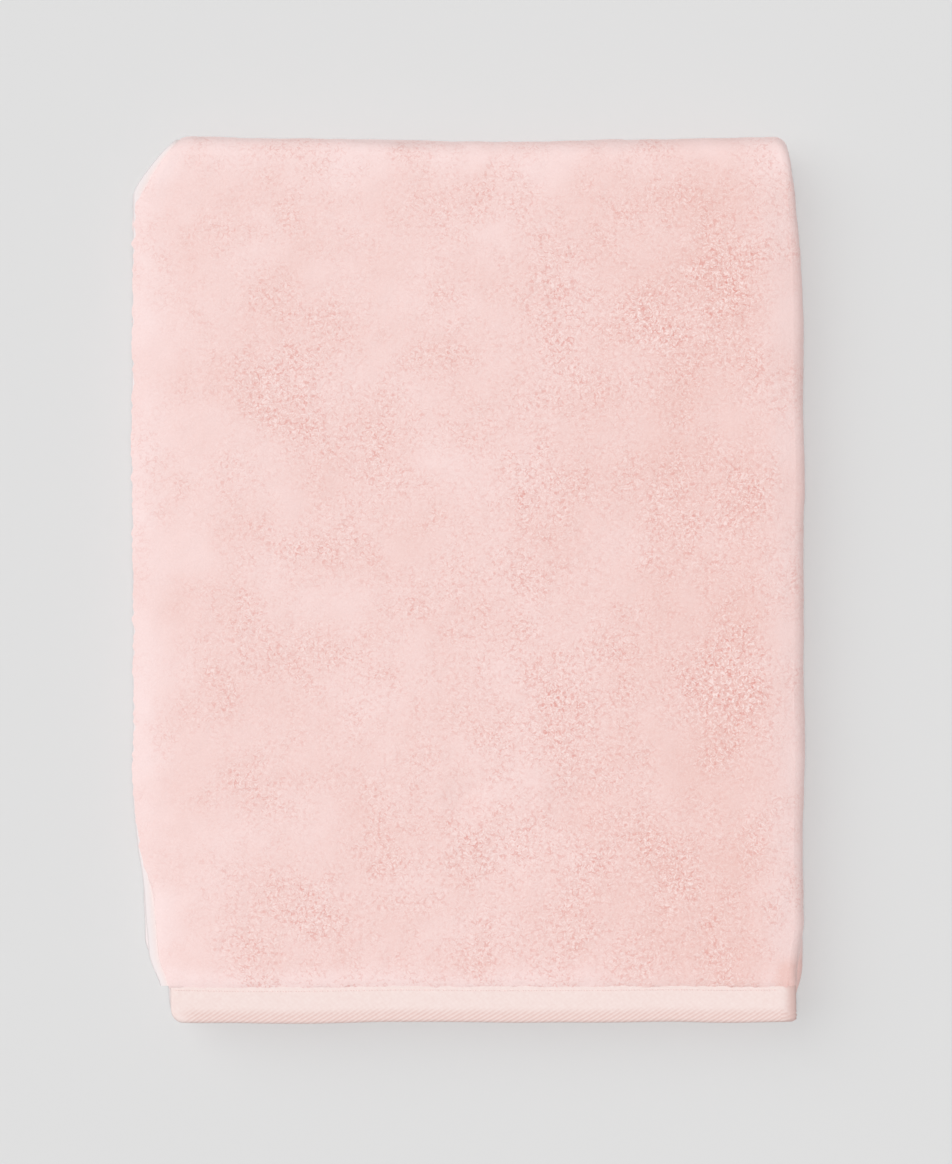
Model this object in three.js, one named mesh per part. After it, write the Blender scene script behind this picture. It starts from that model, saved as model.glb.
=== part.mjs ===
// A terry bath towel, folded as it is put on a shelf: in half across its width, then in thirds along its
// length like an accordion. The bottom panel lies on the surface, the middle and top panels lie on it.
// Frame: +Z up, +X towards the side fold, +Y towards the far fold, origin on the surface under the middle
// of the folded towel. Millimetres.
//
// Each panel is two leaves of cloth joined by a fold along its +X side. The near fold (-Y) turns the bottom
// panel into the middle one, and the far fold (+Y) turns the middle panel into the top one, so that the
// towel opens out at those two folds. The cloth is one woven length in life; its regions are separate here.
import * as THREE from 'three';

// Driving dimensions.
const finishedWidth = 700; // across the open towel, selvage to selvage
const finishedLength = 1370; // along the open towel, hem to hem
const leafThickness = 5.4; // loft of the cloth, with loops on both faces
const leafGap = 0.3; // between cloth that lies on cloth
const pileRound = 1.6; // rounding of the pile at a leaf's cut edges
const selvageWidth = 6; // flat woven edge without loops
const selvageThickness = 2.4;
const hemWidth = 19; // turned and stitched end hem, without loops
const hemThickness = 3.2; // three plies of flat weave
const hemInsetOpen = 14; // the hem's open edge, in from the line of the selvages
const hemInsetFold = 4; // the hem's folded edge, in from the side fold
const drawInLength = 70; // over which the cloth eases in to the hem
const hemOverhang = 3; // the near hem reaches this far past the near fold
const hemSetback = 3; // the far hem stays this far inside the far fold
const hemCorner = 3; // rounding of the hem's corner
const threadThickness = 0.5; // lockstitch thread on the hem
const threadInset = 2.2; // from the hem's inner edge to its row of stitches
const labelWidth = 32; // blank satin care label
const labelLength = 17;
const labelThickness = 0.6;
const labelInset = 90; // from the open side to the label
const turnFacets = 16; // flat faces round a fold's half turn

// Derived sizes of the folds.
const leafPitch = leafThickness + leafGap;
const bendInside = leafGap / 2; // inner radius of the tightest bend
const sideReach = bendInside + leafThickness; // how far a side fold stands past its leaves
const turnReach = sideReach + leafPitch; // the same for an end fold, which turns two leaves
const turnMiddle = bendInside + leafThickness + leafGap / 2; // radius half way through an end fold
const turnArc = Math.PI * turnMiddle; // cloth that an end fold takes, taken half way through

// The folded plan, from the cloth's own length and width.
const sideArc = Math.PI * (bendInside + leafThickness / 2);
const foldedWidth = (finishedWidth - sideArc) / 2 + sideReach;
const panelsLength = finishedLength - 2 * turnArc;
const middleLength = (panelsLength - 2 * turnReach - hemOverhang + hemSetback) / 3;
const foldedLength = middleLength + 2 * turnReach + hemOverhang;
const openSide = -foldedWidth / 2; // outer edge of the selvages
const leafOpenEdge = openSide + selvageWidth;
const leafFoldEdge = foldedWidth / 2 - sideReach;
const nearEnd = -foldedLength / 2; // edge of the near hem
const farTurn = foldedLength / 2 - turnReach; // where the far fold begins
const nearTurn = farTurn - middleLength; // where the near fold begins
const farEnd = foldedLength / 2 - hemSetback; // edge of the far hem
const nearHemStart = nearEnd + hemWidth;
const farHemStart = farEnd - hemWidth;
const hemInset = (leafThickness - hemThickness) / 2; // the hem lies mid way through the leaf
const leafLevels = { lower: 0, upper: leafPitch }; // of a panel's leaves, above the panel's underside

const terry = new THREE.MeshStandardMaterial({ color: '#f6d6d2', roughness: 0.95, metalness: 0 });
const flatWeave = new THREE.MeshStandardMaterial({ color: '#f7e2de', roughness: 0.85, metalness: 0 });
const thread = new THREE.MeshStandardMaterial({ color: '#f3d9d5', roughness: 0.6, metalness: 0 });
const satin = new THREE.MeshStandardMaterial({ color: '#f8f4f2', roughness: 0.4, metalness: 0 });

const towel = new THREE.Group();
const panels = {};
['bottom', 'middle', 'top'].forEach((name, index) => {
  panels[name] = new THREE.Group();
  panels[name].position.z = 2 * index * leafPitch;
  towel.add(panels[name]);
});

function addMesh(group, name, geometry, material) {
  const mesh = new THREE.Mesh(geometry, material);
  mesh.name = name;
  group.add(mesh);
  return mesh;
}

// A flat layer of cloth: an outline in X and Y, given thickness upwards, with its rim rounded.
function layer(shape, thickness, round) {
  const geometry = new THREE.ExtrudeGeometry(shape, {
    depth: thickness - 2 * round,
    curveSegments: 4,
    bevelEnabled: round > 0,
    bevelThickness: round,
    bevelSize: round,
    bevelOffset: -round,
    bevelSegments: 3,
  });
  return geometry.translate(0, 0, round);
}

// Half of a ring that opens towards -X of its own plane, extruded by depth. An arc in a shape is cut into
// twice as many lines as curveSegments says.
function halfRing(inside, outside, depth) {
  const shape = new THREE.Shape();
  shape.absarc(0, 0, outside, -Math.PI / 2, Math.PI / 2, false);
  shape.absarc(0, 0, inside, Math.PI / 2, -Math.PI / 2, true);
  return new THREE.ExtrudeGeometry(shape, { depth, bevelEnabled: false, curveSegments: turnFacets / 2 });
}

// Lays a half ring along Y as a fold of the +X side, from y1 back to y0.
function alongSide(mesh, x, y1, z) {
  mesh.rotation.x = Math.PI / 2;
  mesh.position.set(x, y1, z);
}

// Lays a half ring along X as a fold of an end: the far end, or the near end when facing is -1.
function alongEnd(mesh, facing, x0, x1, y, z) {
  mesh.rotation.set(Math.PI / 2, (facing * Math.PI) / 2, 0);
  mesh.position.set(facing > 0 ? x0 : x1, y, z);
}

// The two leaves of a panel, their selvages and the side fold that joins them. The leaves run from y0 to y1.
// A free end is drawn in towards its hem: freeEnd is -1 at y0, 1 at y1 and 0 where there is none.
function addPanel(name, y0, y1, freeEnd) {
  const group = panels[name];
  const drawIn = hemInsetOpen - selvageWidth;
  // The line at x of an open side, from y0 to y1.
  const openLine = (x) => {
    const near = freeEnd < 0 ? [[x + drawIn, y0], [x, y0 + drawInLength]] : [[x, y0]];
    const far = freeEnd > 0 ? [[x, y1 - drawInLength], [x + drawIn, y1]] : [[x, y1]];
    return [...near, ...far].map(([px, py]) => new THREE.Vector2(px, py));
  };
  const foldLine = [y0, y1].map((y) => new THREE.Vector2(leafFoldEdge - leafGap, y));
  const leafShape = new THREE.Shape([...foldLine, ...openLine(leafOpenEdge).reverse()]);
  const selvageInner = openLine(leafOpenEdge - leafGap);
  const selvageShape = new THREE.Shape([...selvageInner, ...openLine(openSide).reverse()]);
  for (const [leaf, level] of Object.entries(leafLevels)) {
    const cloth = addMesh(group, `${name}_leaf_${leaf}`, layer(leafShape, leafThickness, pileRound), terry);
    cloth.position.z = level;
    const edge = layer(selvageShape, selvageThickness, 0);
    const selvage = addMesh(group, `${name}_selvage_${leaf}`, edge, flatWeave);
    selvage.position.z = level + (leafThickness - selvageThickness) / 2;
  }
  const fold = halfRing(bendInside, sideReach, y1 - y0);
  alongSide(addMesh(group, `${name}_side_fold`, fold, terry), leafFoldEdge, y1, bendInside + leafThickness);
}

// An end fold: an outer and an inner turn of cloth, their selvages, and the corner where the side fold turns
// with them. It starts at y and turns about a line at height z in the panel it leaves.
function addEndFold(group, name, facing, y) {
  const z = 2 * leafPitch - leafGap / 2;
  const x1 = leafFoldEdge - leafGap;
  const turns = { inner: bendInside, outer: bendInside + leafPitch };
  for (const [turn, inside] of Object.entries(turns)) {
    const cloth = halfRing(inside, inside + leafThickness, x1 - leafOpenEdge);
    alongEnd(addMesh(group, `${name}_${turn}`, cloth, terry), facing, leafOpenEdge, x1, y, z);
    const bare = inside + (leafThickness - selvageThickness) / 2;
    const edgeWidth = selvageWidth - leafGap;
    const edge = halfRing(bare, bare + selvageThickness, edgeWidth);
    const strip = addMesh(group, `${name}_selvage_${turn}`, edge, flatWeave);
    alongEnd(strip, facing, openSide, openSide + edgeWidth, y, z);
  }
  const corner = addMesh(group, `${name}_corner`, cornerTurn(facing), terry);
  corner.position.set(leafFoldEdge, y, z);
}

// The side fold's half ring, carried round an end fold on a half circle in the Y-Z plane. The path's own
// frame has its first axis along -X, so the ring's profile opens the other way.
function cornerTurn(facing) {
  const profile = new THREE.Shape();
  profile.absarc(0, 0, sideReach, Math.PI / 2, 1.5 * Math.PI, false);
  profile.absarc(0, 0, bendInside, 1.5 * Math.PI, Math.PI / 2, true);
  class HalfTurn extends THREE.Curve {
    getPoint(t, target = new THREE.Vector3()) {
      const angle = Math.PI * (t - 0.5);
      return target.set(0, facing * turnMiddle * Math.cos(angle), facing * turnMiddle * Math.sin(angle));
    }
  }
  const sweep = { steps: turnFacets, curveSegments: turnFacets / 2, extrudePath: new HalfTurn() };
  return new THREE.ExtrudeGeometry(profile, sweep);
}

// An end hem: a flat strip on each leaf and the fold that joins them, with a row of stitches on each face.
// It runs outwards from inner, towards +Y or, when facing is -1, towards -Y.
function addEndHem(group, name, facing, inner) {
  const outer = inner + facing * hemWidth;
  const clear = inner + facing * leafGap;
  const foldReach = leafPitch / 2 + hemThickness / 2;
  const x0 = openSide + hemInsetOpen;
  const x1 = foldedWidth / 2 - hemInsetFold - foldReach;
  const shape = new THREE.Shape();
  shape.moveTo(x0, clear);
  shape.lineTo(x1 - leafGap, clear);
  shape.lineTo(x1 - leafGap, outer);
  shape.lineTo(x0 + hemCorner, outer);
  shape.quadraticCurveTo(x0, outer, x0, outer - facing * hemCorner);
  for (const [leaf, level] of Object.entries(leafLevels)) {
    const strip = addMesh(group, `${name}_hem_${leaf}`, layer(shape, hemThickness, 0), flatWeave);
    strip.position.z = level + hemInset;
    const row = new THREE.BoxGeometry(x1 - x0 - 2 * hemCorner, threadThickness, threadThickness);
    const stitches = addMesh(group, `${name}_hem_thread_${leaf}`, row, thread);
    const outward = leaf === 'upper' ? 1 : -1;
    const betweenFaces = (hemThickness + leafThickness) / 4; // mid way from the hem's face to the leaf's
    const height = level + leafThickness / 2 + outward * betweenFaces;
    stitches.position.set((x0 + x1) / 2, inner + facing * threadInset, height);
  }
  const fold = halfRing(foldReach - hemThickness, foldReach, hemWidth - leafGap);
  const turned = addMesh(group, `${name}_hem_fold`, fold, flatWeave);
  alongSide(turned, x1, Math.max(clear, outer), leafThickness + leafGap / 2);
}

// The blank care label, sewn into the far hem and lying between its two plies.
function addCareLabel(group) {
  const tape = new THREE.BoxGeometry(labelWidth, labelLength, labelThickness);
  const label = addMesh(group, 'care_label', tape, satin);
  const onHem = hemInset + hemThickness + leafGap + labelThickness / 2;
  label.position.set(openSide + labelInset, farEnd - leafGap - labelLength / 2, onHem);
}

addPanel('bottom', nearTurn + leafGap, farHemStart, 1);
addPanel('middle', nearTurn + leafGap, farTurn - leafGap, 0);
addPanel('top', nearHemStart, farTurn - leafGap, -1);
addEndFold(panels.bottom, 'near_fold', -1, nearTurn);
addEndFold(panels.middle, 'far_fold', 1, farTurn);
addEndHem(panels.bottom, 'far', 1, farHemStart);
addEndHem(panels.top, 'near', -1, nearHemStart);
addCareLabel(panels.bottom);

export default towel;
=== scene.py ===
import bpy
import math
import numpy as np
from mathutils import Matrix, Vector, noise


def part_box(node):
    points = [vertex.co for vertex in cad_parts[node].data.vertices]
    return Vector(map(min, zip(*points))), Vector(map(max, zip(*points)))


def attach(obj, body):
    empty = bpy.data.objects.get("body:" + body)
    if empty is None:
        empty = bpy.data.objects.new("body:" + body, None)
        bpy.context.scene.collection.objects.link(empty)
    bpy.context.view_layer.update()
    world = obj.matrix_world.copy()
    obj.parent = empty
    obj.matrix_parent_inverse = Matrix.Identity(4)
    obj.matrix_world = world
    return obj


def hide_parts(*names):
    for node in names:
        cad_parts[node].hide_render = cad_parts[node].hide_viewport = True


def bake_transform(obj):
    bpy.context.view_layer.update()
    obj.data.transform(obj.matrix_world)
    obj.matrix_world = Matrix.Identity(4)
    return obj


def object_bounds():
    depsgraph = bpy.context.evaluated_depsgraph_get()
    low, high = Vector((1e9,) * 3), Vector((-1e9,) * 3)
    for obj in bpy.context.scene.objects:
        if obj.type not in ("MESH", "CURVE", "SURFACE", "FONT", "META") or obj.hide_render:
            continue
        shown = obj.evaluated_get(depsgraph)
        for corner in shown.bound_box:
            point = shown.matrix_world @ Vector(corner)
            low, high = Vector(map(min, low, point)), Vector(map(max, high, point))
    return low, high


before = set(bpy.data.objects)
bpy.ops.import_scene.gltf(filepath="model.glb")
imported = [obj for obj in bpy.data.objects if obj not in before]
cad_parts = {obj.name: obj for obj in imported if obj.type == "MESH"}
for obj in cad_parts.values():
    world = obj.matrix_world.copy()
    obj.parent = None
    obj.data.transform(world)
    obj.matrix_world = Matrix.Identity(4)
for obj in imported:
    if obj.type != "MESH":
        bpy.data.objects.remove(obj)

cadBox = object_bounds()
mm = 0.001

# The towel's own measures, taken from the frame.
left, near = cadBox[0].x, cadBox[0].y
right, far, top = cadBox[1].x, cadBox[1].y, cadBox[1].z
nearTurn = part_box("near_fold_outer")[1].y  # where the bottom and middle panels meet the near fold
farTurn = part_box("far_fold_outer")[0].y  # where the middle and top panels meet the far fold
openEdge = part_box("middle_leaf_upper")[0].x  # where the pile ends and the selvage begins
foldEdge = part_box("middle_side_fold")[0].x  # where the side folds begin
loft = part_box("top_leaf_upper")[1].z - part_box("top_leaf_upper")[0].z
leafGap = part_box("top_leaf_upper")[0].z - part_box("top_leaf_lower")[1].z
bendInside = leafGap / 2
panelBase = {name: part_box(f"{name}_leaf_lower")[0].z for name in ("bottom", "middle", "top")}
panelEnds = {
    "bottom": (nearTurn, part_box("bottom_leaf_lower")[1].y),
    "middle": (nearTurn, farTurn),
    "top": (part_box("top_leaf_lower")[0].y, farTurn),
}
freeEnd = {"bottom": 1, "middle": 0, "top": -1}  # the end of the panel that has the hem
print("frame loaded:", len(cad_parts), "nodes")


def linearColour(hexColour):
    values = [int(hexColour[i:i + 2], 16) / 255 for i in (1, 3, 5)]
    return [v / 12.92 if v <= 0.04045 else ((v + 0.055) / 1.055) ** 2.4 for v in values] + [1]


def addNode(tree, kind, values=None, links=None, **settings):
    node = tree.nodes.new(kind)
    for key, value in settings.items():
        setattr(node, key, value)
    for socket, value in (values or {}).items():
        node.inputs[socket].default_value = value
    for socket, source in (links or {}).items():
        tree.links.new(source, node.inputs[socket])
    return node


def newMaterial(name):
    material = bpy.data.materials.new(name)
    material.use_nodes = True
    tree = material.node_tree
    tree.nodes.clear()
    shader = addNode(tree, "ShaderNodeBsdfPrincipled")
    addNode(tree, "ShaderNodeOutputMaterial", links={"Surface": shader.outputs[0]})
    return material, tree, shader


terryLook = {
    "tip": "#e9d2d0",
    "body": "#dfbcb6",
    "tone": (0.25, 1.25),  # the summed tones that give the body's and the tip's colour
    "paleShare": 0.5,
    "yarnShare": 0.5,
    "patchSize": 38 * mm,  # areas where the pile lies one way
    "open": "#d6aba3",  # where the loops stand open they hold more shade
    "openShare": 0.4,
    "gap": "#ce877e",  # light that comes back from between the loops is redder
    "gapWidth": 0.48 * mm,
    "gapShare": 0.7,
    "gapBreaks": (0.47, 0.6),  # where a gap comes and goes, as values of its noise
    "breakSize": 2.4 * mm,
    "loopSize": 2.6 * mm,  # a clump of loops
    "leanSize": 3.4 * mm,
    "curl": 2.4 * mm,  # how far a row of loops wanders
    "yarnSize": 1.1 * mm,  # the loop yarn
    "dimYarn": (0.34, 0.48),  # yarn that lies deep, as values of its noise; it gets painted shade
    "dimShare": 0.28,
    "litYarn": (0.49, 0.62),
    "fleck": "#ebd7d4",  # a loop that catches the light
    "bump": 0.3 * mm,
}


def terryMaterial():
    # Combed cotton terry, dyed in the piece: loops on both faces, no gloss, with painted shade
    # deepest between the loops.
    material, tree, shader = newMaterial("cottonTerry")
    look = terryLook
    place = addNode(tree, "ShaderNodeTexCoord").outputs["Object"]
    openPile = addNode(tree, "ShaderNodeAttribute", attribute_name="openPile").outputs["Fac"]
    # paler or deeper tone, partly painted light and shade, from the pile's pale table
    pale = addNode(tree, "ShaderNodeAttribute", attribute_name="pale").outputs["Fac"]
    # rows of loops that curl
    lean = addNode(tree, "ShaderNodeTexNoise", {"Scale": 1 / look["leanSize"], "Detail": 1.0},
                   {"Vector": place})
    centred = addNode(tree, "ShaderNodeVectorMath", {1: (0.5, 0.5, 0.5)}, {0: lean.outputs["Color"]},
                      operation="SUBTRACT")
    curl = addNode(tree, "ShaderNodeVectorMath", {"Scale": 2 * look["curl"]}, {0: centred.outputs[0]},
                   operation="SCALE")
    curled = addNode(tree, "ShaderNodeVectorMath", links={0: place, 1: curl.outputs[0]}, operation="ADD")
    loops = addNode(tree, "ShaderNodeTexVoronoi", {"Scale": 1 / look["loopSize"]},
                    {"Vector": curled.outputs[0]}, feature="DISTANCE_TO_EDGE")
    # painted shade in the gaps between the loops
    gaps = addNode(tree, "ShaderNodeMapRange",
                   {"From Min": 0.0, "From Max": look["gapWidth"] / look["loopSize"],
                    "To Min": 1.0, "To Max": 0.0},
                   {"Value": loops.outputs["Distance"]}, interpolation_type="SMOOTHSTEP")
    breaks = addNode(tree, "ShaderNodeTexNoise", {"Scale": 1 / look["breakSize"], "Detail": 1.0},
                     {"Vector": place})
    unbroken = addNode(tree, "ShaderNodeMapRange",
                       {"From Min": look["gapBreaks"][0], "From Max": look["gapBreaks"][1]},
                       {"Value": breaks.outputs[0]}, interpolation_type="SMOOTHSTEP")
    dashes = addNode(tree, "ShaderNodeMath", links={0: gaps.outputs[0], 1: unbroken.outputs[0]},
                     operation="MULTIPLY")
    openDashes = addNode(tree, "ShaderNodeMath", links={0: dashes.outputs[0], 1: openPile},
                         operation="MULTIPLY")
    gapShade = addNode(tree, "ShaderNodeMath", {1: look["gapShare"]}, {0: openDashes.outputs[0]},
                       operation="MULTIPLY")
    # the yarn itself, and the way each patch of pile lies
    yarn = addNode(tree, "ShaderNodeTexNoise",
                   {"Scale": 1 / look["yarnSize"], "Detail": 2.0, "Roughness": 0.65},
                   {"Vector": curled.outputs[0]})
    # painted shade on yarn that lies deep, where the pile stands open
    dimYarn = addNode(tree, "ShaderNodeMapRange",
                      {"From Min": look["dimYarn"][0], "From Max": look["dimYarn"][1],
                       "To Min": 1.0, "To Max": 0.0},
                      {"Value": yarn.outputs[0]})
    openSquared = addNode(tree, "ShaderNodeMath", links={0: openPile, 1: openPile}, operation="MULTIPLY")
    openDimYarn = addNode(tree, "ShaderNodeMath", links={0: dimYarn.outputs[0], 1: openSquared.outputs[0]},
                          operation="MULTIPLY")
    shade = addNode(tree, "ShaderNodeMath", {1: look["dimShare"]},
                    {0: openDimYarn.outputs[0], 2: gapShade.outputs[0]},
                    operation="MULTIPLY_ADD", use_clamp=True)
    patches = addNode(tree, "ShaderNodeTexNoise", {"Scale": 1 / look["patchSize"], "Detail": 3.0},
                      {"Vector": place})
    speckle = addNode(tree, "ShaderNodeMath", {1: look["yarnShare"]},
                      {0: yarn.outputs[0], 2: patches.outputs[0]}, operation="MULTIPLY_ADD")
    toned = addNode(tree, "ShaderNodeMath", {1: look["paleShare"]}, {0: pale, 2: speckle.outputs[0]},
                    operation="MULTIPLY_ADD")
    light = addNode(tree, "ShaderNodeMapRange",
                    {"From Min": look["tone"][0], "From Max": look["tone"][1]},
                    {"Value": toned.outputs[0]})
    base = addNode(tree, "ShaderNodeMix", {6: linearColour(look["body"]), 7: linearColour(look["tip"])},
                   {0: light.outputs[0]}, data_type="RGBA")
    openShare = addNode(tree, "ShaderNodeMath", {1: look["openShare"]}, {0: openPile}, operation="MULTIPLY")
    opened = addNode(tree, "ShaderNodeMix", {7: linearColour(look["open"])},
                     {0: openShare.outputs[0], 6: base.outputs[2]}, data_type="RGBA")
    litYarn = addNode(tree, "ShaderNodeMapRange",
                      {"From Min": look["litYarn"][0], "From Max": look["litYarn"][1]},
                      {"Value": yarn.outputs[0]})
    flecks = addNode(tree, "ShaderNodeMath", links={0: litYarn.outputs[0], 1: openPile},
                     operation="MULTIPLY")
    flecked = addNode(tree, "ShaderNodeMix", {7: linearColour(look["fleck"])},
                      {0: flecks.outputs[0], 6: opened.outputs[2]}, data_type="RGBA")
    colour = addNode(tree, "ShaderNodeMix", {7: linearColour(look["gap"])},
                     {0: shade.outputs[0], 6: flecked.outputs[2]}, data_type="RGBA")
    tree.links.new(colour.outputs[2], shader.inputs["Base Color"])
    height = addNode(tree, "ShaderNodeMath", links={0: yarn.outputs[0], 1: gaps.outputs[0]},
                     operation="SUBTRACT")
    bump = addNode(tree, "ShaderNodeBump", {"Distance": look["bump"], "Strength": 0.2},
                   {"Height": height.outputs[0]})
    tree.links.new(bump.outputs[0], shader.inputs["Normal"])
    shader.inputs["Roughness"].default_value = 0.95
    shader.inputs["Specular IOR Level"].default_value = 0.2
    shader.inputs["Sheen Weight"].default_value = 0.35
    shader.inputs["Sheen Roughness"].default_value = 0.5
    shader.inputs["Sheen Tint"].default_value = linearColour("#fff0ee")
    return material


waveRepeat = math.tau / 10  # a diagonal wave texture at scale 1 repeats after this length along each axis
weaveLook = {
    "face": "#e5d4d0",
    "edge": "#e1d8d8",  # the tight woven edge takes less dye
    # painted shade: in the rib hollows, on the deepest yarn and on the outer side of a hem's turn
    "groove": "#d6b9b3",
    "twill": 3.15667 * mm,  # from line to line along an edge: far wider than real twill, so that it shows
    "twillShare": 0.1,
    "slubSize": 1.6 * mm,  # thick and thin places in the yarn
    "raised": (0.3, 0.8),  # from the deepest to the highest yarn, as values of their sum
    "shade": 0.3,
    "bump": 0.1 * mm,
}


def flatWeaveMaterial():
    # The same cotton woven without loops: a close twill, paler than the pile because it holds no shade.
    material, tree, shader = newMaterial("cottonTwill")
    look = weaveLook
    place = addNode(tree, "ShaderNodeTexCoord").outputs["Object"]
    # painted shade, read from the pieces: between the ribs, and on the outer side of a hem's turn
    groove = addNode(tree, "ShaderNodeAttribute", attribute_name="hollow").outputs["Fac"]
    twill = addNode(tree, "ShaderNodeTexWave",
                    {"Scale": waveRepeat / look["twill"], "Distortion": 1.0,
                     "Detail": 1.0, "Detail Scale": 2.0},
                    {"Vector": place}, bands_direction="DIAGONAL")
    slub = addNode(tree, "ShaderNodeTexNoise", {"Scale": 1 / look["slubSize"], "Detail": 3.0},
                   {"Vector": place})
    mixed = addNode(tree, "ShaderNodeMath", {1: look["twillShare"]},
                    {0: twill.outputs["Fac"], 2: slub.outputs[0]}, operation="MULTIPLY_ADD")
    raised = addNode(tree, "ShaderNodeMapRange",
                     {"From Min": look["raised"][0], "From Max": look["raised"][1]},
                     {"Value": mixed.outputs[0]})
    shade = addNode(tree, "ShaderNodeMapRange", {"To Min": look["shade"], "To Max": 0.0},
                    {"Value": raised.outputs[0]})
    deep = addNode(tree, "ShaderNodeMath", links={0: groove, 1: shade.outputs[0]},
                   operation="ADD", use_clamp=True)
    colour = addNode(tree, "ShaderNodeMix",
                     {6: linearColour(look["face"]), 7: linearColour(look["groove"])},
                     {0: deep.outputs[0]}, data_type="RGBA")
    pale = addNode(tree, "ShaderNodeAttribute", attribute_name="pale").outputs["Fac"]
    dyed = addNode(tree, "ShaderNodeMix", {7: linearColour(look["edge"])},
                   {0: pale, 6: colour.outputs[2]}, data_type="RGBA")
    tree.links.new(dyed.outputs[2], shader.inputs["Base Color"])
    bump = addNode(tree, "ShaderNodeBump", {"Distance": look["bump"], "Strength": 0.5},
                   {"Height": mixed.outputs[0]})
    tree.links.new(bump.outputs[0], shader.inputs["Normal"])
    shader.inputs["Roughness"].default_value = 0.85
    shader.inputs["Specular IOR Level"].default_value = 0.25
    return material


threadLook = {
    "dark": "#dcbdb8",
    "light": "#ecd9d5",
    "twist": 1.38104 * mm,  # from ply to ply along the thread: wider than real, so that it shows
    "bump": 0.05 * mm,
}


def threadMaterial():
    # Spun polyester sewing thread, dyed to match: a twisted ply with a low, silky shine.
    material, tree, shader = newMaterial("polyesterThread")
    look = threadLook
    place = addNode(tree, "ShaderNodeTexCoord").outputs["Object"]
    ply = addNode(tree, "ShaderNodeTexWave", {"Scale": waveRepeat / look["twist"]}, {"Vector": place},
                  bands_direction="DIAGONAL")
    colour = addNode(tree, "ShaderNodeMix",
                     {6: linearColour(look["dark"]), 7: linearColour(look["light"])},
                     {0: ply.outputs["Fac"]}, data_type="RGBA")
    tree.links.new(colour.outputs[2], shader.inputs["Base Color"])
    bump = addNode(tree, "ShaderNodeBump", {"Distance": look["bump"], "Strength": 0.5},
                   {"Height": ply.outputs["Fac"]})
    tree.links.new(bump.outputs[0], shader.inputs["Normal"])
    shader.inputs["Roughness"].default_value = 0.5
    return material


satinLook = {
    "dark": "#e4e0dc",
    "light": "#f3f1ee",
    "floatWidth": 0.3 * mm,
    "floatStretch": 0.12,  # a float's width over its length
    "bump": 0.04 * mm,
}


def satinMaterial():
    # Woven polyester satin tape, undyed: long floats run across it, so it shines softly in one direction.
    material, tree, shader = newMaterial("satinTape")
    look = satinLook
    place = addNode(tree, "ShaderNodeTexCoord").outputs["Object"]
    stretched = addNode(tree, "ShaderNodeMapping", {"Scale": (look["floatStretch"], 1, 1)},
                        {"Vector": place})
    floats = addNode(tree, "ShaderNodeTexNoise", {"Scale": 1 / look["floatWidth"], "Detail": 2.0},
                     {"Vector": stretched.outputs[0]})
    colour = addNode(tree, "ShaderNodeMix",
                     {6: linearColour(look["dark"]), 7: linearColour(look["light"])},
                     {0: floats.outputs[0]}, data_type="RGBA")
    tree.links.new(colour.outputs[2], shader.inputs["Base Color"])
    bump = addNode(tree, "ShaderNodeBump", {"Distance": look["bump"], "Strength": 0.4},
                   {"Height": floats.outputs[0]})
    tree.links.new(bump.outputs[0], shader.inputs["Normal"])
    shader.inputs["Roughness"].default_value = 0.38
    shader.inputs["Anisotropic"].default_value = 0.4
    return material


materials = {"terry": terryMaterial(), "flat_weave": flatWeaveMaterial(), "thread": threadMaterial(),
             "satin": satinMaterial()}
print("materials made")


def layCloth(name, low, high, across, along, rows, backGrid):
    # a flat piece at its size and place, face up, with its thickness let down in rows;
    # its back is a grid like the face, or one face where it can't be seen
    low, high = Vector(low), Vector(high)
    size, middle = high - low, (low + high) / 2
    bpy.ops.object.select_all(action="DESELECT")
    bpy.ops.mesh.primitive_grid_add(x_subdivisions=across, y_subdivisions=along, size=1,
                                    location=(middle.x, middle.y, high.z))
    piece = bpy.context.object
    piece.name = piece.data.name = name
    piece.scale = (size.x, size.y, 1)
    bpy.ops.object.transform_apply(location=True, scale=True)
    bpy.ops.object.mode_set(mode="EDIT")
    bpy.ops.mesh.select_mode(type="EDGE")
    if backGrid:
        bpy.ops.mesh.select_all(action="SELECT")
        for row in range(rows):
            bpy.ops.mesh.extrude_region_move(TRANSFORM_OT_translate={"value": (0, 0, -size.z / rows)})
    else:
        bpy.ops.mesh.select_all(action="DESELECT")
        bpy.ops.mesh.select_non_manifold()
        for row in range(rows):
            bpy.ops.mesh.extrude_edges_move(TRANSFORM_OT_translate={"value": (0, 0, -size.z / rows)})
        bpy.ops.mesh.edge_face_add()
    bpy.ops.object.mode_set(mode="OBJECT")
    shares = (readPlaces(piece) - np.array(low)) / np.array(size)
    return piece, np.clip(shares, 0, 1).T


def readPlaces(piece):
    places = np.empty(len(piece.data.vertices) * 3)
    piece.data.vertices.foreach_get("co", places)
    return places.reshape(-1, 3)


def setAttribute(piece, name, values):
    piece.data.attributes.new(name, "FLOAT", "POINT").data.foreach_set("value", values.astype(np.float32))


sharpAt = 50  # degrees: an edge sharper than this isn't smoothed over


def finishPiece(piece, places, slot, node, **shares):
    piece.data.vertices.foreach_set("co", settle(places).ravel())
    for name in ("openPile", "hollow", "pale"):  # all that the materials read, 0 where a piece has none
        setAttribute(piece, name, shares.get(name, 0) + np.zeros(len(places)))
    bpy.ops.object.select_all(action="DESELECT")
    bpy.context.view_layer.objects.active = piece
    piece.select_set(True)
    bpy.ops.object.mode_set(mode="EDIT")
    bpy.ops.mesh.select_all(action="SELECT")
    bpy.ops.mesh.normals_make_consistent(inside=False)
    bpy.ops.object.mode_set(mode="OBJECT")
    bpy.ops.object.shade_smooth_by_angle(angle=math.radians(sharpAt))
    piece.data.materials.clear()
    piece.data.materials.append(materials[slot])
    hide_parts(node)


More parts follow.
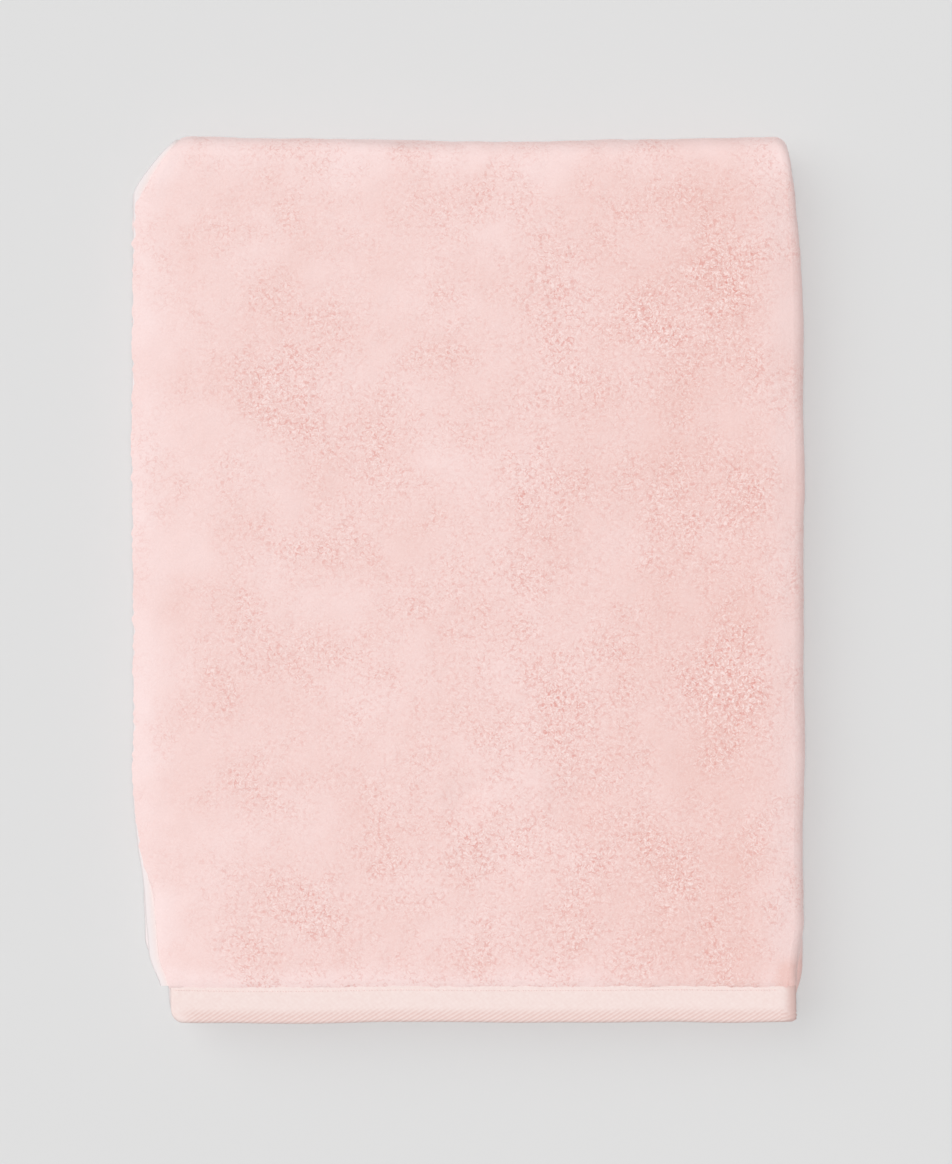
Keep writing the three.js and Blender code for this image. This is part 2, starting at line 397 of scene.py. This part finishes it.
def ramp(value, begins, whole):
    # eases from 0 to 1, also where whole is the lower of the two
    t = np.clip((value - begins) / (whole - begins), 0, 1)
    return t * t * (3 - 2 * t)


def wander(places, size, seed=0.0):
    return np.array([noise.noise(Vector(p) / size + Vector((seed, 0, 0))) for p in places])


def wanderAlong(lengths, size, seed, height=0):
    return np.array([noise.noise(Vector((v / size, seed, height))) for v in lengths])


def dimple(places, x, y, radius):
    # 1 in the middle of a round spot, given in mm, and fading away from it
    return np.exp(-((places[:, 0] - x * mm) ** 2 + (places[:, 1] - y * mm) ** 2) / (radius * mm) ** 2)


stack = {
    "openEdgeReach": 80 * mm,  # how far in the open edge's own shifts go
    "sideFoldsFrom": 0.3,  # share of the way from the middle to the right at which theirs begin
    "farCorner": 23.5 * mm,  # how far the open far corner is tucked in
    "farCornerFrom": 31 * mm,
    "farCornerCurve": 1.3,
    # drawn in towards the near end: how far, and the y where it begins and where it is whole
    "openEdgeLower": [(5 * mm, -60 * mm, -190 * mm), (13 * mm, near + 43 * mm, near + 14 * mm)],
    "openEdgeTop": [(3 * mm, -100 * mm, -150 * mm), (5.5 * mm, near + 36 * mm, near + 16 * mm)],
    "sideFoldsLower": [(5.5 * mm, near + 28 * mm, near + 2 * mm)],
    "sideFoldsTop": [(3.6 * mm, near + 52 * mm, near + 22 * mm)],
    "farSideLean": 10.5 * mm,  # the side folds draw in towards the far end
    "farSideLeanFade": 36 * mm,
    "endReach": 50 * mm,  # how far in the ends' own shifts go
    "farBow": 2.4 * mm,
    "farBowMiddle": 25 * mm,
    "farBowWidth": 85 * mm,
    "nearCornerOut": 2.6 * mm,  # the lower panels' folded near corner stands out from under the hem
    "nearCornerFrom": (0.62, 0.95),  # shares of the way from the middle to the right
    "nearCornerReach": 16 * mm,
    "edgeWander": 1.1 * mm,
    "sideWanderSize": 55 * mm,
    "endWanderSize": 60 * mm,
    "layerShift": 0.16,  # the wander changes this much faster with height, so that the layers show
    "calmReach": 30 * mm,
    "sinkLeft": 1.5 * mm,  # single edges press flatter than folds do
    "sinkLeftFrom": -120 * mm,
    "slumpRight": 4.6 * mm,
    "slumpRightFrom": 150 * mm,
    "dents": [(-2, -115, 11, 1.6), (55, -115, 13, 1.5), (16, -147, 15, 1.3), (100, 40, 30, 0.8),
              (-60, 60, 40, 0.7), (-90, -50, 35, 0.6), (60, 140, 30, 0.7)],  # x, y, radius, depth in mm
}


def drawnIn(rows, y):
    return sum(distance * ramp(y, begins, whole) for distance, begins, whole in rows)


def settle(places):
    # how the folded stack has relaxed: the same shift for all cloth at a place, so neighbours stay joined
    x, y, z = places.T
    onTop = z > panelBase["top"] - leafGap / 2
    byOpenEdge = np.clip(1 - (x - left) / stack["openEdgeReach"], 0, 1) ** 2
    bySideFolds = ramp(x, stack["sideFoldsFrom"] * right, right)
    byFar = ramp(y, far - stack["endReach"], far)
    byNear = ramp(y, near + stack["endReach"], near)
    tuck = np.clip((y - far) / stack["farCornerFrom"] + 1, 0, 1.1) ** stack["farCornerCurve"]
    newX = x + byOpenEdge * stack["farCorner"] * tuck
    newX += byOpenEdge * np.where(onTop, drawnIn(stack["openEdgeTop"], y),
                                  drawnIn(stack["openEdgeLower"], y))
    newX -= bySideFolds * stack["farSideLean"] * np.exp((y - far) / stack["farSideLeanFade"])
    newX -= bySideFolds * np.where(onTop, drawnIn(stack["sideFoldsTop"], y),
                                   drawnIn(stack["sideFoldsLower"], y))
    sideDrift = wander(places / [4, 1, stack["layerShift"]], stack["sideWanderSize"])
    newX += (bySideFolds ** 2 + byOpenEdge) * sideDrift * stack["edgeWander"]
    newY = y - byFar * stack["farBow"] * np.exp(-((x - stack["farBowMiddle"]) / stack["farBowWidth"]) ** 2)
    byCorner = ramp(x / right, *stack["nearCornerFrom"]) * ramp(y, near + stack["nearCornerReach"], near)
    newY -= stack["nearCornerOut"] * byCorner * ~onTop
    endDrift = wander(places / [1, 4, stack["layerShift"]], stack["endWanderSize"], 7.0)
    newY += (byFar + byNear) * endDrift * stack["edgeWander"]
    # what presses the stack down is calmed near the end folds, where a panel turned over would meet it
    calm = ramp(y, nearTurn, nearTurn + stack["calmReach"]) * ramp(y, farTurn, farTurn - stack["calmReach"])
    sink = stack["sinkLeft"] * ramp(x, stack["sinkLeftFrom"], left)
    for dentX, dentY, radius, depth in stack["dents"]:
        sink = sink + depth * mm * dimple(places, dentX, dentY, radius)
    slumpFrom = stack["slumpRightFrom"]
    sink = sink + stack["slumpRight"] * np.clip((x - slumpFrom) / (right - slumpFrom), 0, 1) ** 2
    return np.stack([newX, newY, z - z / top * calm * sink], axis=1)


pile = {
    "clump": 0.32 * mm,
    "clumpSize": 9 * mm,
    "tuft": 0.36 * mm,
    "tuftSize": 3.0 * mm,
    "fine": 0.22 * mm,
    "fineSize": 1.9 * mm,
    "lying": 0.2,  # how much of the tufts' relief is left where the pile lies smooth
    "overEdge": 5.8 * mm,  # pile that stands out over the selvage
    "ragged": 0.3,  # and how much of that comes and goes
    "raggedSize": 3.5 * mm,
    "pulledOut": [(-135, -170), (190, 206)],  # y in mm towards each corner, where it begins and is whole
    "pulledShare": 0.9,
    "overHem": 1.2 * mm,
    "lipFade": 3 * mm,  # how far in from an edge its overhang reaches
    "lipLift": 0.45 * mm,
    # the shares of the overhang and of the lift at six heights, from the inner face to the pile face
    "edgeLips": [0.5, 0.9, 0.05, 0.05, 1.0, 0.6],
    "hemLips": [0.3, 0.3, 0.0, 0.1, 1.0, 0.75],
    "lifted": [0, 0, 0, 0, 1, 0.3],
    "round": 5 * mm,  # how far in from an edge the pile starts to round over
    "edgeDrop": 0.15,  # share of the loft that is lost at an open edge
    "hemDrop": 0.23,
    "faceFrom": (0.55, 0.95),  # relief grows between these shares of the thickness
    "pressed": 0.3,  # what is left of it on the face that lies on the table
    # where the loops have been brushed open: x, y, radius in mm and strength
    "open": [(140, -60, 34, 0.75), (142, 50, 30, 0.5), (135, 150, 32, 0.45), (85, 135, 36, 0.4),
             (-88, 98, 26, 0.5), (45, 75, 26, 0.4), (47, -68, 26, 0.5), (-122, -42, 24, 0.35),
             (70, -155, 46, 0.38), (0, -160, 28, 0.3), (-100, -180, 26, 0.4), (27, 10, 30, 0.35)],
    "openNoise": [(0.6, 30 * mm, 0.0), (0.42, 11 * mm, 3.0)],  # share, size and seed
    # and where it lies smooth: share, axis, and the place in mm where it begins and where it is whole
    "smooth": [(0.35, 0, -110, -160), (0.25, 0, 150, 172), (0.1, 1, 190, 220)],
    "openRange": (-0.75, 1.2),
    # paler, and deeper below 0, partly the pile's own tone and partly painted light and shade: share, then in
    # mm the x where it begins and where it is whole, and the same for y, None where it holds all along
    "pale": [
        (0.75, (-148, -173), None),  # the open edge
        (0.8, None, (195, 228)),  # the far end: painted light, paler against the shade of its turn
        (-0.65, (30, 130), None),  # the side folds' half of the towel
        (0.9, (140, 170), None),  # the side folds themselves: smoother pile, and the painted greyer look of a side in shade
        (0.4, None, (-199, -211)),  # beside the hem
        (0.6, (70, 0), (-199, -211)),
        (0.4, (-130, -165), (-150, -190)),  # the open near corner
        (-1.6, (160, 168), (-195, -206)),  # the folded near corner: painted shade
    ],
}


def openness(places):
    # 0 where the pile lies smooth, 1 where its loops stand open
    value = sum(share * wander(places, size, seed) for share, size, seed in pile["openNoise"])
    for share, axis, begins, whole in pile["smooth"]:
        value -= share * ramp(places[:, axis], begins * mm, whole * mm)
    for x, y, radius, strength in pile["open"]:
        value += strength * dimple(places, x, y, radius)
    return ramp(value, *pile["openRange"])


def paleness(places):
    # the pile's paler or deeper tone, partly painted light and shade
    value = np.zeros(len(places))
    for part, *limits in pile["pale"]:
        for axis, limit in enumerate(limits):
            if limit:
                part = part * ramp(places[:, axis] / mm, *limit)
        value += part
    return np.clip(value, -1, 1)


def relief(places, opened):
    # the pile is deepest between its tufts, furthest from their middles
    fromTuft = [noise.voronoi(Vector(p) / pile["tuftSize"], distance_metric="DISTANCE")[0][0] for p in places]
    depth = ramp(np.array(fromTuft), 0.1, 0.9) * pile["tuft"] * (pile["lying"] + (1 - pile["lying"]) * opened)
    lift = wander(places, pile["clumpSize"]) * pile["clump"] - depth
    return lift + wander(places, pile["fineSize"], 5.0) * pile["fine"] * (0.5 + opened)


def finishPile(piece, places, outward, facing, node):
    # relief on the pile face only, then the stack's own shape
    opened = openness(places)
    lift = relief(places, opened) * facing
    shares = {"openPile": opened, "pale": paleness(places)}
    finishPiece(piece, places + outward * lift[:, None], "terry", node, **shares)


def openLine(panel, y):
    # x of the pile's open edge: a hemmed end is drawn in
    ease, drawIn = 70 * mm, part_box("near_hem_upper")[0].x - openEdge
    if freeEnd[panel] < 0:
        return openEdge + drawIn * np.clip((panelEnds[panel][0] + ease - y) / ease, 0, 1)
    if freeEnd[panel] > 0:
        return openEdge + drawIn * np.clip((y - panelEnds[panel][1] + ease) / ease, 0, 1)
    return openEdge + 0 * y


def throughCloth(c, profile):
    return np.interp(c, [0, 0.2, 0.4, 0.6, 0.8, 1], profile)


def overEdge(flat, y, a, c, inFromEdge):
    # the pile covers the selvage except near the corners, where the edge has been pulled out
    reach = pile["overEdge"]
    for begins, whole in pile["pulledOut"]:
        reach = reach * (1 - pile["pulledShare"] * ramp(y, begins * mm, whole * mm))
    ragged = 1 + pile["ragged"] * wander(flat, pile["raggedSize"], 2.0)
    lips = throughCloth(c, pile["edgeLips"])
    return reach * ragged * lips * np.exp(-inFromEdge / pile["lipFade"]) * (a < 0.5)


def lipLift(c, inFromEdge):
    # lifts the overhanging pile clear of the woven edge
    return pile["lipLift"] * throughCloth(c, pile["lifted"]) * np.exp(-inFromEdge / pile["lipFade"])


def roundDown(share, inFromEdge):
    return share * loft * np.clip(1 - inFromEdge / pile["round"], 0, 1) ** 2


bendRows = 1.5  # a bend has this many times the rows of flat cloth
endBendRows = 1.2


def makeLeaf(panel, leaf, step):
    y0, y1 = panelEnds[panel]
    base = panelBase[panel] + (loft + leafGap if leaf == "upper" else 0)
    across, along = round((foldEdge - openEdge) / step), round((y1 - y0) / step)
    piece, (a, b, c) = layCloth(f"{panel}_{leaf}_cloth", (openEdge, y0, base), (foldEdge, y1, base + loft),
                                across, along, rows=5, backGrid=False)
    y = y0 + b * (y1 - y0)
    edge = openLine(panel, y)
    x = edge + a * (foldEdge - edge)
    inFromEdge = x - edge
    flat = np.stack([x, y, base + c * loft], axis=1)
    x = x - overEdge(flat, y, a, c, inFromEdge)
    drop = roundDown(pile["edgeDrop"], inFromEdge)
    if freeEnd[panel]:
        inFromHem = np.abs(y - (y0 if freeEnd[panel] < 0 else y1))
        lips = throughCloth(c, pile["hemLips"])
        y = y + freeEnd[panel] * pile["overHem"] * np.exp(-inFromHem / pile["lipFade"]) * lips
        drop = np.maximum(drop, roundDown(pile["hemDrop"], inFromHem))
    up = 1 if leaf == "upper" else -1
    inner = panelBase[panel] + loft + (leafGap if leaf == "upper" else 0)
    places = np.stack([x, y, inner + up * (c * (loft - drop) + lipLift(c, inFromEdge))], axis=1)
    outward = np.zeros_like(places)
    outward[:, 2] = up
    facing = ramp(c, *pile["faceFrom"])
    if (panel, leaf) == ("bottom", "lower"):
        facing = pile["pressed"] * facing
    finishPile(piece, places, outward, facing, f"{panel}_leaf_{leaf}")
    return piece


def makeSideTurn(panel, step):
    y0, y1 = panelEnds[panel]
    middle = math.pi * (bendInside + loft / 2)  # length round the middle of the cloth
    piece, (a, b, c) = layCloth(f"{panel}_side_turn", (foldEdge, y0, 0), (foldEdge + middle, y1, loft),
                                round(middle * bendRows / step), round((y1 - y0) / step),
                                rows=1, backGrid=True)
    angle = math.pi * (0.5 - a)
    radius = bendInside + c * loft
    y = y0 + b * (y1 - y0)
    centre = panelBase[panel] + loft + leafGap / 2
    outward = np.stack([np.cos(angle), 0 * angle, np.sin(angle)], axis=1)
    places = outward * radius[:, None] + np.stack([foldEdge + 0 * y, y, centre + 0 * y], axis=1)
    finishPile(piece, places, outward, c, f"{panel}_side_fold")
    return piece


ends = {
    "near": {"side": -1, "start": "bottom", "end": "middle", "line": nearTurn},
    "far": {"side": 1, "start": "middle", "end": "top", "line": farTurn},
}
for end in ends.values():
    end["centre"] = panelBase[end["start"]] + 2 * loft + 1.5 * leafGap


def makeEndTurn(name, turn, step):
    end = ends[name]
    inside = bendInside + (loft + leafGap if turn == "outer" else 0)
    width, length = foldEdge - openEdge, math.pi * (inside + loft / 2)
    piece, (a, b, c) = layCloth(f"{name}_{turn}_turn", (openEdge, 0, 0), (foldEdge, length, loft),
                                round(width / step), max(8, round(length * endBendRows / step)),
                                rows=5, backGrid=True)
    angle = math.pi * (b - 0.5)
    x = openEdge + a * width
    y = end["line"] + 0 * x
    inFromEdge = x - openEdge
    drop = roundDown(pile["edgeDrop"], inFromEdge) * (turn == "outer")
    outward = np.stack([0 * angle, end["side"] * np.cos(angle), np.sin(angle)], axis=1)
    flat = outward * (inside + c * loft)[:, None] + np.stack([x, y, end["centre"] + 0 * x], axis=1)
    x = x - overEdge(flat, y, a, c, inFromEdge)
    radius = inside + c * (loft - drop) + lipLift(c, inFromEdge)
    places = outward * radius[:, None] + np.stack([x, y, end["centre"] + 0 * x], axis=1)
    facing = ramp(c, *pile["faceFrom"]) * (turn == "outer")
    finishPile(piece, places, outward, facing, f"{name}_fold_{turn}")
    return piece


def makeCorner(name, step):
    # the side fold's half turn, carried round an end fold
    end = ends[name]
    centreLine = loft + leafGap
    width, length = math.pi * (bendInside + loft / 2), math.pi * centreLine
    piece, (a, b, c) = layCloth(f"{name}_corner_turn", (0, 0, 0), (width, length, loft),
                                round(width * bendRows / step), round(length * bendRows / step),
                                rows=1, backGrid=True)
    swing = math.pi * (b - 0.5)
    angle = math.pi * (0.5 - a)
    radial = np.stack([0 * swing, end["side"] * np.cos(swing), np.sin(swing)], axis=1)
    outward = np.outer(np.cos(angle), [1, 0, 0]) + radial * np.sin(angle)[:, None]
    places = radial * centreLine + outward * (bendInside + c * loft)[:, None]
    places += [foldEdge, end["line"], end["centre"]]
    finishPile(piece, places, outward, c, f"{name}_fold_corner")
    return piece


selvage = {
    "width": 6 * mm,
    "thick": 2.4 * mm,
    "tucked": 1.5 * mm,  # goes on under the pile
    "round": 0.16,  # share of the width over which the outside is rounded
    "wave": 0.5 * mm,
    "waveSize": 21 * mm,
    "curlSize": 33 * mm,
    "rib": 0.05 * mm,
    "ribPitch": 2.4 * mm,
    "ribLean": 5 * mm,
    # share of painted shade between the ribs
    "hollow": 0.15,
    "step": 0.8 * mm,
}


def selvageShape(a, seed, s):
    # across the edge from outside to inside: rounded outside, waved along its length s
    half = selvage["thick"] / 2 * np.sqrt(1 - (1 - np.clip(a / selvage["round"], 0.02, 1)) ** 2)
    wave = wanderAlong(s, selvage["waveSize"], seed) * selvage["wave"]
    curl = wanderAlong(s, selvage["curlSize"], seed, 9) * selvage["wave"]
    ribs = np.cos(2 * math.pi * (s - a * selvage["ribLean"]) / selvage["ribPitch"])
    # painted shade between the ribs; the outside is paler
    shares = {"hollow": (0.5 - 0.5 * ribs) * selvage["hollow"], "pale": 1 - 0.7 * ramp(a, 0.1, 0.8)}
    return half + ribs * selvage["rib"] * (a > 0.05), wave, curl, shares


def makeSelvage(panel, leaf):
    y0, y1 = panelEnds[panel]
    base = panelBase[panel] + (loft + leafGap if leaf == "upper" else 0)
    width = selvage["width"] + selvage["tucked"]
    low = (openEdge - selvage["width"], y0, base + (loft - selvage["thick"]) / 2)
    piece, (a, b, c) = layCloth(f"{panel}_{leaf}_edge", low, (low[0] + width, y1, low[2] + selvage["thick"]),
                                9, round((y1 - y0) / selvage["step"]), rows=2, backGrid=True)
    y = y0 + b * (y1 - y0)
    seed = panelBase[panel] * 700 + (leaf == "upper") * 3.3  # so that no two strips wave alike
    half, wave, curl, shares = selvageShape(a, seed, y)
    free = ramp(b, 0, 0.03) * ramp(1 - b, 0, 0.03) * (1 - a)  # no wave at the ends, where it meets the folds
    x = openLine(panel, y) - selvage["width"] + a * width + wave * free
    z = base + loft / 2 + curl * free + (2 * c - 1) * half
    places = np.stack([x, y, z], axis=1)
    finishPiece(piece, places, "flat_weave", f"{panel}_selvage_{leaf}", **shares)
    return piece


def makeEndSelvage(name, turn):
    end = ends[name]
    inside = bendInside + (loft + leafGap if turn == "outer" else 0)
    width, length = selvage["width"] + selvage["tucked"], math.pi * (inside + loft / 2)
    piece, (a, b, c) = layCloth(f"{name}_{turn}_edge", (0, 0, 0), (width, length, selvage["thick"]),
                                9, max(8, round(length / selvage["step"])), rows=2, backGrid=True)
    angle = math.pi * (b - 0.5)
    half, _, _, shares = selvageShape(a, 0, b * length)
    x = openEdge - selvage["width"] + a * width
    radius = inside + loft / 2 + (2 * c - 1) * half
    outward = np.stack([0 * angle, end["side"] * np.cos(angle), np.sin(angle)], axis=1)
    places = outward * radius[:, None] + np.stack([x, end["line"] + 0 * x, end["centre"] + 0 * x], axis=1)
    finishPiece(piece, places, "flat_weave", f"{name}_fold_selvage_{turn}", **shares)
    return piece


hem = {
    "edge": 2.4 * mm,  # how far in from the rolled edge it rounds over
    "corner": 7.5 * mm,
    "openRound": 2 * mm,
    "under": 3 * mm,  # goes on under the pile, thinner
    "taper": 0.55,
    "ribPitch": 3.6 * mm,
    "ribSlope": 30,
    "rib": 0.15 * mm,
    "ribReach": 8.5 * mm,
    "ribFaint": 0.06,  # what is left of the rib beyond its reach
    "wave": 0.35 * mm,
    "waveSize": 26 * mm,
    "turnGap": 0.3 * mm,  # how far the strip goes on towards its fold
    "turnIn": 1 * mm,  # the folded end is rounder than two flat hems would be
    "turnOut": 3.4 * mm,
    "step": 0.75 * mm,
}


def hemShape(d, x, thick, length, calm):
    # half thickness and rib shade at distance d from the rolled edge
    half = thick / 2 * np.sqrt(1 - (1 - np.clip(d / hem["edge"], 0.04, 1)) ** 2)
    half *= 1 - hem["taper"] * ramp(d, length - 0.9 * hem["under"], length - 0.2 * hem["under"])
    fade = 1 - ramp(d, 0.5 * hem["ribReach"], hem["ribReach"])
    strength = (hem["ribFaint"] + (1 - hem["ribFaint"]) * fade) * calm
    ribs = np.cos(2 * math.pi * (x - d / math.tan(math.radians(hem["ribSlope"]))) / hem["ribPitch"])
    return half + hem["rib"] * strength * ribs * ramp(d, 0, 1 * mm), strength * (0.5 - 0.5 * ribs)


def hemSpan(side, low, high):
    # y of the rolled edge, and the hem's length with what goes on under the pile
    return low.y if side < 0 else high.y, high.y - low.y + hem["under"]


def makeHem(name, leaf):
    side, node = ends[name]["side"], f"{name}_hem_{leaf}"
    low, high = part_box(node)
    outer, length = hemSpan(side, low, high)
    width = high.x + hem["turnGap"] - hem["turnIn"] - low.x
    inner = outer - side * length
    piece, (a, b, c) = layCloth(f"{name}_{leaf}_hem", (low.x, min(outer, inner), low.z),
                                (low.x + width, max(outer, inner), high.z),
                                round((high.x - low.x) / hem["step"]), round(length / hem["step"]),
                                rows=2, backGrid=True)
    inX = a * width
    x = low.x + inX
    d = (b if side < 0 else 1 - b) * length
    fromCorner = np.clip(hem["corner"] - inX, 0, None)
    rounding = hem["corner"] - np.sqrt(np.maximum(hem["corner"] ** 2 - fromCorner ** 2, 0))
    edgeAt = rounding + hem["wave"] * wanderAlong(x, hem["waveSize"], 2.5 + side)
    # the second value is the painted shade between the ribs
    half, hollow = hemShape(d, x, high.z - low.z, length, ramp(inX, 4 * mm, 16 * mm))
    half = half * np.sqrt(1 - (1 - np.clip(inX / hem["openRound"], 0.05, 1)) ** 2)
    y = outer - side * (edgeAt + d * (length - edgeAt) / length)
    z = (low.z + high.z) / 2 + (2 * c - 1) * half
    finishPiece(piece, np.stack([x, y, z], axis=1), "flat_weave", node, hollow=hollow)
    return piece


def makeHemTurn(name):
    # the hem's own fold at the folded side
    side, node = ends[name]["side"], f"{name}_hem_fold"
    low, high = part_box(node)
    outer, length = hemSpan(side, low, high)
    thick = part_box(f"{name}_hem_upper")[1].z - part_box(f"{name}_hem_upper")[0].z
    reach = (high.z - low.z) / 2
    width = math.pi * (reach - thick / 2)
    piece, (a, b, c) = layCloth(f"{name}_hem_turn", (0, 0, 0), (width, length, thick), 16,
                                round(length / hem["step"]), rows=2, backGrid=True)
    d = (b if side < 0 else 1 - b) * length
    angle = math.pi * (0.5 - a)
    half, hollow = hemShape(d, low.x + a * width, thick, length, 1)
    wave = hem["wave"] * wanderAlong([low.x], hem["waveSize"], 2.5 + side)[0]
    radius = reach - thick / 2 + (2 * c - 1) * half
    y = outer - side * (wave + d * (length - wave) / length)
    rounder = 1 + (hem["turnIn"] + hem["turnOut"]) / reach
    places = np.stack([low.x - hem["turnIn"] + np.cos(angle) * radius * rounder, y,
                       (low.z + high.z) / 2 + np.sin(angle) * radius], axis=1)
    # painted shade on the outer side and underside of the turn, over that between its ribs
    finishPiece(piece, places, "flat_weave", node, hollow=np.maximum(hollow, ramp(a, 0, 0.3)))
    return piece


stitch = {
    "length": 2.7 * mm,
    "pitch": 3.2 * mm,
    "thick": 0.5 * mm,
    "proud": 0.12 * mm,  # its middle lies this far off the hem's face
}


def makeStitches(name, leaf):
    node = f"{name}_hem_thread_{leaf}"
    low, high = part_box(node)
    hemLow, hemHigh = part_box(f"{name}_hem_{leaf}")
    lies = hemHigh.z + stitch["proud"] if leaf == "upper" else hemLow.z - stitch["proud"]
    bpy.ops.object.select_all(action="DESELECT")
    bpy.ops.mesh.primitive_uv_sphere_add(segments=6, ring_count=6, radius=0.5,
                                         location=(low.x + stitch["pitch"] / 2, (low.y + high.y) / 2, lies),
                                         rotation=(0, math.pi / 2, 0))
    piece = bpy.context.object
    piece.name = piece.data.name = f"{name}_{leaf}_stitches"
    piece.scale = (stitch["thick"], stitch["thick"], stitch["length"])
    bpy.ops.object.transform_apply(location=True, rotation=True, scale=True)
    row = piece.modifiers.new("row", "ARRAY")
    row.count = round((high.x - low.x) / stitch["pitch"])
    row.use_relative_offset = False
    row.use_constant_offset = True
    row.constant_offset_displace = (stitch["pitch"], 0, 0)
    bpy.ops.object.modifier_apply(modifier="row")
    finishPiece(piece, readPlaces(piece), "thread", node)
    return piece


tape = {"wave": 0.5 * mm, "step": 1 * mm}


def makeLabel():
    low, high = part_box("care_label")
    piece, (a, b, c) = layCloth("blank_label", low, high, round((high.x - low.x) / tape["step"]),
                                round((high.y - low.y) / tape["step"]), rows=1, backGrid=True)
    places = readPlaces(piece)
    places[:, 2] += tape["wave"] * np.sin(2 * math.pi * a) * b
    finishPiece(piece, places, "satin", "care_label")
    return piece


closeStep, middleStep, looseStep = 1.35 * mm, 1.8 * mm, 2.3 * mm  # closest where it is always seen
steps = {("top", "upper"): closeStep, ("bottom", "upper"): middleStep, ("middle", "lower"): middleStep}
for panel in ("bottom", "middle", "top"):
    made = {leaf: makeLeaf(panel, leaf, steps.get((panel, leaf), looseStep)) for leaf in ("lower", "upper")}
    edges = {leaf: makeSelvage(panel, leaf) for leaf in ("lower", "upper")}
    turn = makeSideTurn(panel, closeStep)
    for piece in [*made.values(), *edges.values(), turn]:
        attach(piece, f"{panel}_panel")
    print(panel, "panel made")

for name, panel in (("far", "bottom"), ("near", "top")):
    hems = {leaf: makeHem(name, leaf) for leaf in ("lower", "upper")}
    seams = {leaf: makeStitches(name, leaf) for leaf in ("lower", "upper")}
    turn = makeHemTurn(name)
    for piece in [*hems.values(), *seams.values(), turn]:
        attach(piece, f"{panel}_panel")
label = makeLabel()
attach(label, "bottom_panel")
print("hems and label made")

for name, end in ends.items():
    outerTurn, innerTurn = makeEndTurn(name, "outer", closeStep), makeEndTurn(name, "inner", closeStep)
    outerEdge, innerEdge = makeEndSelvage(name, "outer"), makeEndSelvage(name, "inner")
    corner = makeCorner(name, closeStep)
    # how far below and above the fold's axis each piece goes over from one panel to the other
    reach = {outerTurn: bendInside + 2 * loft + leafGap, innerTurn: bendInside, corner: 0.6 * loft}
    reach[outerEdge], reach[innerEdge] = reach[outerTurn], reach[innerTurn]
    for piece, distance in reach.items():
        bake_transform(piece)
    print(name, "fold made")

studio = {
    "floor": 12,
    "floorUnder": 0.2 * mm,
    "paper": "#cecece",
    "fill": 0.24,
    "overhead": 2.35,
    "overheadSpread": 20,
    "key": 0.95,
    "keySpread": 60,
    "keyTilt": 45,
    "keyTurn": 242,
}
bpy.ops.object.select_all(action="DESELECT")
bpy.ops.mesh.primitive_plane_add(size=studio["floor"], location=(0, 0, -studio["floorUnder"]))
floor = bpy.context.object
floor.name = "floor"
bpy.ops.object.transform_apply(location=True)
# Uncoated background paper: an even, matt grey.
paper, paperTree, paperShader = newMaterial("palePaper")
paperShader.inputs["Base Color"].default_value = linearColour(studio["paper"])
paperShader.inputs["Roughness"].default_value = 0.9
paperShader.inputs["Specular IOR Level"].default_value = 0.1
floor.data.materials.append(paper)

world = bpy.data.worlds.new("studio")
bpy.context.scene.world = world
world.use_nodes = True
world.node_tree.nodes["Background"].inputs[0].default_value = (1, 1, 1, 1)
world.node_tree.nodes["Background"].inputs[1].default_value = studio["fill"]


def addSoftbox(name, power, spread, tilt, turn):
    bpy.ops.object.light_add(type="SUN", rotation=(math.radians(tilt), 0, math.radians(turn)))
    lamp = bpy.context.object
    lamp.name = name
    lamp.data.energy = power
    lamp.data.angle = math.radians(spread)


addSoftbox("overheadSoftbox", studio["overhead"], studio["overheadSpread"], 0, 0)
addSoftbox("keySoftbox", studio["key"], studio["keySpread"], studio["keyTilt"], studio["keyTurn"])

view = {"x": 3.65 * mm, "y": -1.8 * mm, "above": 1.6, "across": 0.6062, "sensor": 36, "reach": 20}
bpy.ops.object.camera_add(location=(view["x"], view["y"], top + view["above"]))
camera = bpy.context.object
camera.data.sensor_width = view["sensor"]
camera.data.lens = view["sensor"] * view["above"] / view["across"]
camera.data.clip_end = view["reach"]
bpy.context.scene.camera = camera
bpy.context.scene.view_settings.view_transform = "Standard"

print("scene made")
